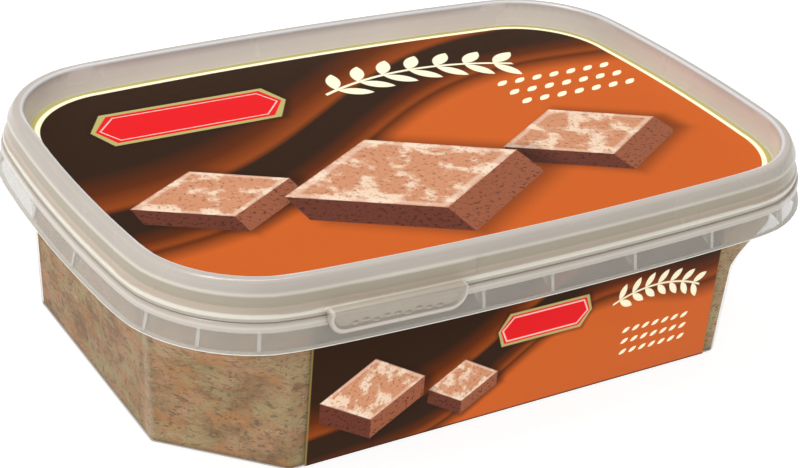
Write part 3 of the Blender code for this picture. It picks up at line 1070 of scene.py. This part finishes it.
# %% Motifs
def lozenge(place, colour, spot, size, grain, marble):
    """A diamond cut of halva: a pale marbled top, speckled brown sides and a soft shadow."""
    def at(*corners):
        return [(spot[0] + size * a, spot[1] + size * b) for a, b in corners]
    shadow = polygon(place, at((-10, -1), (-9, -4.6), (0.5, -10.6), (12, -3.6), (11.5, 0), (1, 6)))
    left = polygon(place, at((-10, 0), (-10, -3.8), (0, -9.8), (0, -6)))
    right = polygon(place, at((0, -6), (0, -9.8), (10, -3.8), (10, 0)))
    top = polygon(place, at((-10, 0), (0, -6), (10, 0), (0, 6)))
    speck = grain.ramp(0.54, 0.62) * 0.8
    colour = (inside(shadow, 1.4 * size) * 0.6).mix(colour, linear(34, 18, 10))
    colour = inside(left).mix(colour, speck.mix(SIDE_DARK, linear(46, 22, 14)))
    colour = inside(right).mix(colour, speck.mix(SIDE_LIT, linear(66, 32, 20)))
    face = marble.ramp(0.48, 0.60).mix(TAN, TAN_PALE)
    face = (speck * 0.8).mix(face, linear(132, 76, 52))
    colour = inside(top).mix(colour, face)
    rim = inside(abs(top + 0.35 * size) - 0.25 * size, 0.2 * size) * 0.35
    return rim.mix(colour, linear(250, 232, 214))


def ribbon(place, colour, spot, size):
    """A plain red ribbon with a gold border."""
    def at(grow):
        right, top = 18 * size + grow, 5.2 * size + grow
        return [(spot[0] - right + 2 * size, spot[1] - top), (spot[0] + right - 4 * size, spot[1] - top),
                (spot[0] + right, spot[1]), (spot[0] + right - 2 * size, spot[1] + top),
                (spot[0] - right + 4 * size, spot[1] + top), (spot[0] - right, spot[1])]
    colour = (inside(polygon(place, at(1.9 * size)), 0.8 * size) * 0.5).mix(colour, linear(40, 20, 10))
    colour = inside(polygon(place, at(0.9 * size))).mix(colour, GOLD)
    colour = inside(polygon(place, at(0))).mix(colour, RED)
    line = abs(polygon(place, at(-0.9 * size))) - 0.13
    return inside(line).mix(colour, linear(255, 205, 195))


def sprig(place, colour, spot, size):
    """A curved stem with pairs of seed pods along it."""
    x, y = spot
    radius = 46 * size
    stem = abs(reach(place, (x, y - radius)) - radius) - 0.35 * size
    ends = polygon(place, [(x - 19 * size, y - 12 * size), (x + 20 * size, y - 12 * size),
                           (x + 20 * size, y + 8 * size), (x - 19 * size, y + 8 * size)])
    shape = stem.highest(ends)
    for step in range(7):
        turn = math.radians(90 - (step - 3) * 7)
        joint = (x + radius * math.cos(turn), y - radius + radius * math.sin(turn))
        for side in (-1, 1):
            lean = turn - math.radians(90) + side * math.radians(48)
            centre = (joint[0] + 3.6 * size * math.cos(lean), joint[1] + 3.6 * size * math.sin(lean))
            shape = shape.lowest(seed(place, centre, lean, 6.4 * size, 2.6 * size))
    return inside(shape).mix(colour, CREAM)


def repeated(value, step):
    """A value that starts again at every step and stays within half a step of 0."""
    return value.node("ShaderNodeMath", {"operation": "WRAP"}, {0: value, 1: step / 2, 2: -step / 2})


def seed_rows(u, v, colour, spot, size, columns, rows):
    """Even rows of small cream seeds, an odd number of them each way."""
    step_u, step_v = 4.4 * size, 4.6 * size
    u, v = u - spot[0], v - spot[1]
    cell = flat_place(repeated(u, step_u), repeated(v, step_v))
    shape = seed(cell, (0, 0), 0.5, 3.7 * size, 1.5 * size)
    area = (abs(u) - columns * step_u / 2).highest(abs(v) - rows * step_v / 2)
    return (inside(shape, 0.08) * inside(area, 0.02)).mix(colour, CREAM)


# %% Print finish
def printed(name, layout):
    """A printed film: layout draws on a place in millimetres."""
    material, shader, place = new_finish(name, Specular_IOR_Level=0.06)
    feed(shader, Base_Color=layout(place))
    feed(shader, Roughness=0.4 + 0.1 * noise(place, 0.6))
    feed(shader, Normal=bumped(noise(place, 0.35), 0.06, 0.2 * MM))
    return material


def lid_layout(place):
    """The layout of the lid's label."""
    x, y = axes(place)[:2]
    flat = flat_place(x, y)
    grain, marble = noise(flat, 1.1, 4.0, 0.7), noise(flat, 0.16, 4.0, 0.55)
    colour = folds(x, y, 1.0, 7.0)
    colour = lozenge(flat, colour, (-42, -5), 1.5, grain, marble)
    colour = lozenge(flat, colour, (33, -9), 1.75, grain, marble)
    colour = lozenge(flat, colour, (-7, -11), 2.4, grain, marble)
    colour = ribbon(flat, colour, (-32, 24.5), 1.05)
    colour = sprig(flat, colour, (17, 28), 1.1)
    colour = seed_rows(x, y, colour, (44, 11), 0.95, 7, 3)
    edge = rim_distance(x, y)
    colour = edge.ramp(-2.9, -2.75).mix(colour, CREAM)
    return edge.ramp(-1.9, -1.75).mix(colour, GOLD)


WALL_LABEL_MIDDLE = 13.9


def wall_layout(side):
    """The layout of the label on the -Y or +Y wall, read from outside."""
    def layout(place):
        x, _, z = axes(place)
        u, v = x * (-side), z - WALL_LABEL_MIDDLE
        flat = flat_place(u, v)
        grain, marble = noise(flat, 1.7, 4.0, 0.7), noise(flat, 0.3, 4.0, 0.55)
        colour = folds(u, v, 0.5, -6.0)
        colour = lozenge(flat, colour, (-12, -4.6), 0.7, grain, marble)
        colour = lozenge(flat, colour, (-30, -1.5), 1.0, grain, marble)
        colour = ribbon(flat, colour, (4, 3.4), 0.52)
        colour = sprig(flat, colour, (28, 5), 0.5)
        colour = seed_rows(u, v, colour, (29, -5.5), 0.5, 7, 3)
        # Painted light: the wall print is made 1.24 times lighter than the lid's, to make up for the weaker
        # light on the upright walls; a cocoa band runs along its foot.
        colour = (1 - z.ramp(0.7, 0.95)).mix(colour.scaled(1.24), COCOA)
        return abs(x).ramp(41.75, 41.95).mix(colour, linear(150, 128, 70))
    return layout


lid_print = printed("lid print", lid_layout)
front_print = printed("front print", wall_layout(-1))
back_print = printed("back print", wall_layout(1))

# %% [markdown]
# ## Floor and light
# A pack shot is taken on a white table under one long soft light, with a broad one at the left.
# The long light is narrow, so that the lid's bends catch it as thin bright lines, and the table
# glows a little, which keeps the ground white without washing out the print.

# %% Floor, sky and lights
WHITE = (1, 1, 1, 1)
TABLE_GREY, TABLE_GLOW, SKY_GLOW = 0.3, 0.88, 0.38
TUB_MIDDLE = Vector((0, 0, 0.02))

deselect()
bpy.ops.mesh.primitive_plane_add(size=6, location=(0, 0, -0.02 * MM))
floor = bpy.context.object
floor.name = "floor"
floor_finish, floor_shader = new_finish("white table", Roughness=0.5, Specular_IOR_Level=0.2)[:2]
floor_shader.inputs["Base Color"].default_value = (TABLE_GREY, TABLE_GREY, TABLE_GREY, 1)
floor_shader.inputs["Emission Color"].default_value = WHITE
floor_shader.inputs["Emission Strength"].default_value = TABLE_GLOW
floor.data.materials.append(floor_finish)

world = bpy.data.worlds.new("soft sky")
world.use_nodes = True
world.node_tree.nodes["Background"].inputs["Color"].default_value = WHITE
world.node_tree.nodes["Background"].inputs["Strength"].default_value = SKY_GLOW
bpy.context.scene.world = world
bpy.context.scene.view_settings.view_transform = "Standard"


def panel(name, place, size, power):
    """A soft light panel that faces the tub."""
    deselect()
    bpy.ops.object.light_add(type="AREA", location=place)
    light = bpy.context.object
    light.name = name
    light.data.shape = "RECTANGLE"
    light.data.size, light.data.size_y = size
    light.data.energy = power
    light.rotation_euler = (Vector(place) - TUB_MIDDLE).to_track_quat("Z", "Y").to_euler()


panel("overhead", (-0.05, 0.12, 0.75), (0.7, 0.14), 4.2)
panel("left", (-0.95, -0.45, 0.45), (1.5, 1.2), 4.6)

# %% [markdown]
# ## Handing over
# Each piece rides on the tub's one body, takes its finish, and stands for the solid that it
# replaces, which is hidden.

# %% Pieces and their solids
dressed = (
    (lid, lid_plastic, "lid", "lid_plastic"),
    (tub, tub_plastic, "tub", "tub_plastic"),
    (halva, halva_mass, "halva", "halva"),
    (lid_label, lid_print, "lid_label", "print"),
    (front_label, front_print, "front_label", "print"),
    (back_label, back_print, "back_label", "print"),
)
for piece, finish, node, slot in dressed:
    piece.data.materials.clear()
    piece.data.materials.append(finish)
    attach(piece, "root")
    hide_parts(node)
